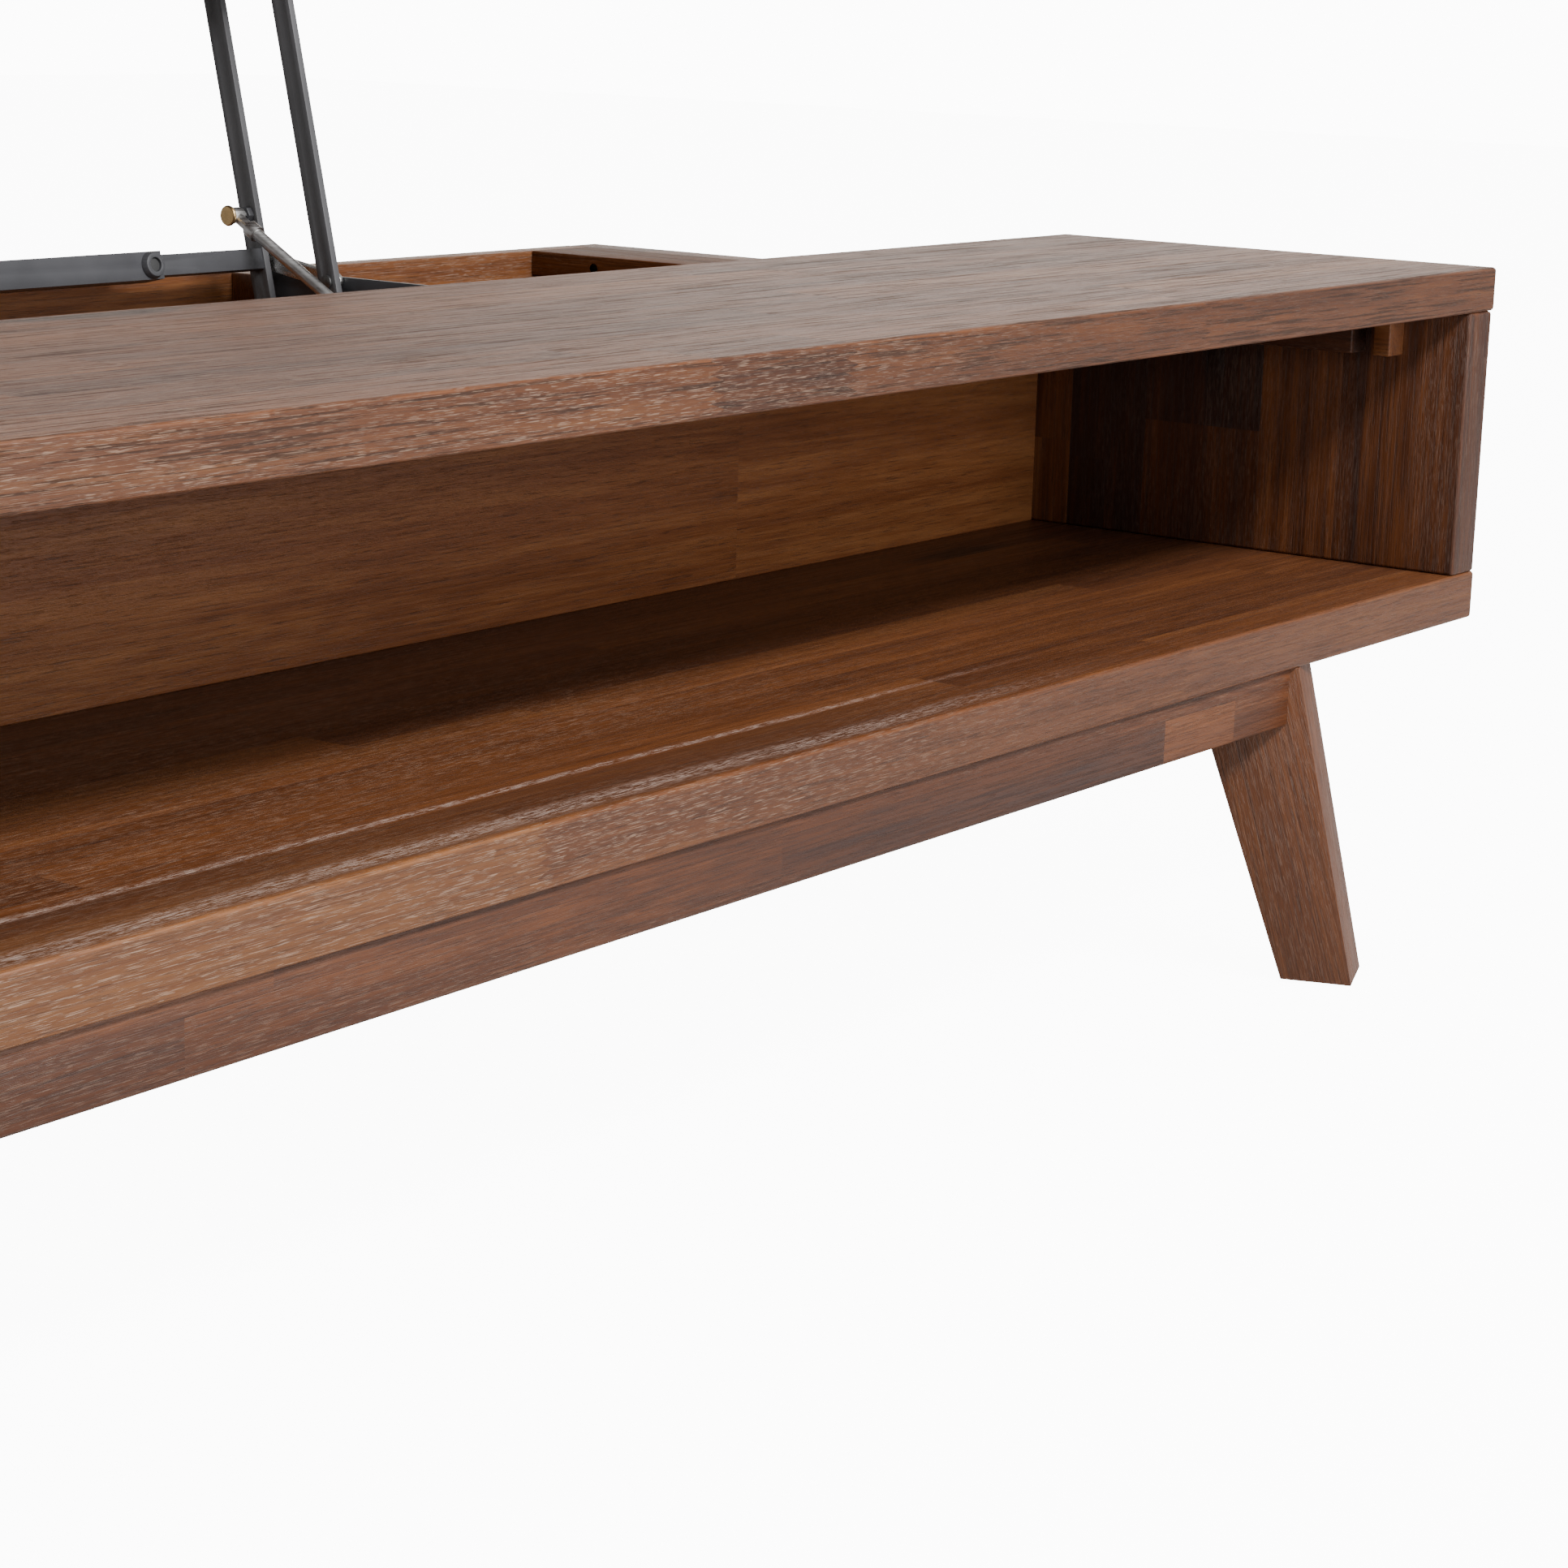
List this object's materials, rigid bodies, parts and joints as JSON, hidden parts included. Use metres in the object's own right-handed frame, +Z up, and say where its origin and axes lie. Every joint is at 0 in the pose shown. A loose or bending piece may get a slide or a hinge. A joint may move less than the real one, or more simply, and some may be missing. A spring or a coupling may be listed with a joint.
{
  "type": "lift top coffee table",
  "caption": "Long solid-wood coffee table with an open front shelf and a storage well under a lid that rises on parallel-arm lifts.",
  "frame": {"origin": "on the floor, under the middle of the object's box with the lid raised", "axes": "+X along the length to the right, +Y from the open shelf's side to the sitter's side, +Z up"},
  "size_m": [1.6, 1.1138, 0.6439],
  "materials": {
    "acacia_boards": "clear satin lacquer over brushed grain",
    "acacia_uprights": "clear satin lacquer",
    "dowel_wood": "raw beech",
    "black_steel": "satin black powder coat",
    "zinc": "bright zinc plate",
    "brass": "yellow passivated",
    "rubber": "matt"
  },
  "bodies": {
    "table": {"fixed_top": "acacia_boards", "bottom_board": "acacia_boards", "side_panel_left": "acacia_uprights", "side_panel_right": "acacia_uprights", "divider_panel": "acacia_boards", "rear_panel": "acacia_boards", "partition_left": "acacia_uprights", "partition_right": "acacia_uprights", "rest_rail_left": "acacia_boards", "rest_rail_right": "acacia_boards", "top_cleat_left": "acacia_uprights", "top_cleat_right": "acacia_uprights", "fixing_block_left": "acacia_uprights", "fixing_block_right": "acacia_uprights", "corner_block_left": "acacia_boards", "corner_block_right": "acacia_boards", "cleat_screws": "zinc", "panel_screws": "zinc", "apron_front": "acacia_boards", "apron_rear": "acacia_boards", "cross_rail_left": "acacia_boards", "cross_rail_middle": "acacia_boards", "cross_rail_right": "acacia_boards", "leg_front_left": "acacia_uprights", "leg_front_right": "acacia_uprights", "leg_rear_left": "acacia_uprights", "leg_rear_right": "acacia_uprights", "leg_dowels": "dowel_wood", "rail_screws": "zinc", "foot_glides": "rubber", "lid_bumpers": "rubber", "base_plate_left": "black_steel", "base_plate_right": "black_steel", "base_pins": "zinc", "plate_screws": "zinc", "strut_bracket_left": "zinc", "strut_bracket_right": "zinc"},
    "rear_arms": {"rear_arm_left": "black_steel", "rear_arm_right": "black_steel", "cross_tube": "black_steel", "cross_sleeve": "black_steel", "sleeve_bolt": "black_steel", "tube_bolts": "zinc", "upper_ball_studs": "brass"},
    "front_link_left": {"front_arm_left": "black_steel", "tie_rivet_left": "zinc"},
    "front_link_right": {"front_arm_right": "black_steel", "tie_rivet_right": "zinc"},
    "lid_assembly": {"lid": "acacia_boards", "top_plate_left": "black_steel", "top_plate_right": "black_steel", "lid_pins": "zinc", "lid_screws": "zinc"},
    "tie_left": {"tie_link_left": "zinc"},
    "tie_right": {"tie_link_right": "zinc"},
    "rod_left": {"strut_rod_left": "zinc"},
    "rod_right": {"strut_rod_right": "zinc"},
    "cylinder_left": {"strut_cylinder_left": "black_steel"},
    "cylinder_right": {"strut_cylinder_right": "black_steel"}
  },
  "joints": [
    {"name": "lift_fold", "type": "hinge", "parent": "table", "child": "rear_arms", "pos_m": [0, 0.16622, 0.339], "axis": [1, 0, 0], "range_deg": [0, 94.7]},
    {"name": "lid_level", "type": "hinge", "parent": "rear_arms", "child": "lid_assembly", "pos_m": [0, 0.2256, 0.59418], "axis": [1, 0, 0], "range_deg": [-94.7, 0]},
    {"name": "front_arm_left_fold", "type": "hinge", "parent": "table", "child": "front_link_left", "pos_m": [-0.378, 0.10142, 0.329], "axis": [1, 0, 0], "range_deg": [0, 94.7]},
    {"name": "tie_link_left_turn", "type": "hinge", "parent": "rear_arms", "child": "tie_left", "pos_m": [-0.385, 0.18122, 0.40348], "axis": [1, 0, 0], "range_deg": [-94.7, 0]},
    {"name": "strut_left_swing", "type": "hinge", "parent": "rear_arms", "child": "rod_left", "pos_m": [-0.366, 0.18805, 0.43279], "axis": [1, 0, 0], "range_deg": [-97.94, 0]},
    {"name": "strut_left_slide", "type": "slide", "parent": "rod_left", "child": "cylinder_left", "axis": [0, 0.8732, 0.4874], "range_m": [0, 0.14107]},
    {"name": "front_arm_right_fold", "type": "hinge", "parent": "table", "child": "front_link_right", "pos_m": [0.378, 0.10142, 0.329], "axis": [1, 0, 0], "range_deg": [0, 94.7]},
    {"name": "tie_link_right_turn", "type": "hinge", "parent": "rear_arms", "child": "tie_right", "pos_m": [0.385, 0.18122, 0.40348], "axis": [1, 0, 0], "range_deg": [-94.7, 0]},
    {"name": "strut_right_swing", "type": "hinge", "parent": "rear_arms", "child": "rod_right", "pos_m": [0.366, 0.18805, 0.43279], "axis": [1, 0, 0], "range_deg": [-97.94, 0]},
    {"name": "strut_right_slide", "type": "slide", "parent": "rod_right", "child": "cylinder_right", "axis": [0, 0.8732, 0.4874], "range_m": [0, 0.14107]}
  ],
  "couplings": [
    {"joint": "lid_level", "follows": "lift_fold", "ratio": -1},
    {"joint": "front_arm_left_fold", "follows": "lift_fold", "ratio": 1},
    {"joint": "tie_link_left_turn", "follows": "lift_fold", "ratio": -1},
    {"joint": "strut_left_swing", "follows": "lift_fold", "ratio": -1.0321},
    {"joint": "strut_left_slide", "follows": "lift_fold", "m_per_rad": 0.085169},
    {"joint": "front_arm_right_fold", "follows": "lift_fold", "ratio": 1},
    {"joint": "tie_link_right_turn", "follows": "lift_fold", "ratio": -1},
    {"joint": "strut_right_swing", "follows": "lift_fold", "ratio": -1.0321},
    {"joint": "strut_right_slide", "follows": "lift_fold", "m_per_rad": 0.085169}
  ]
}
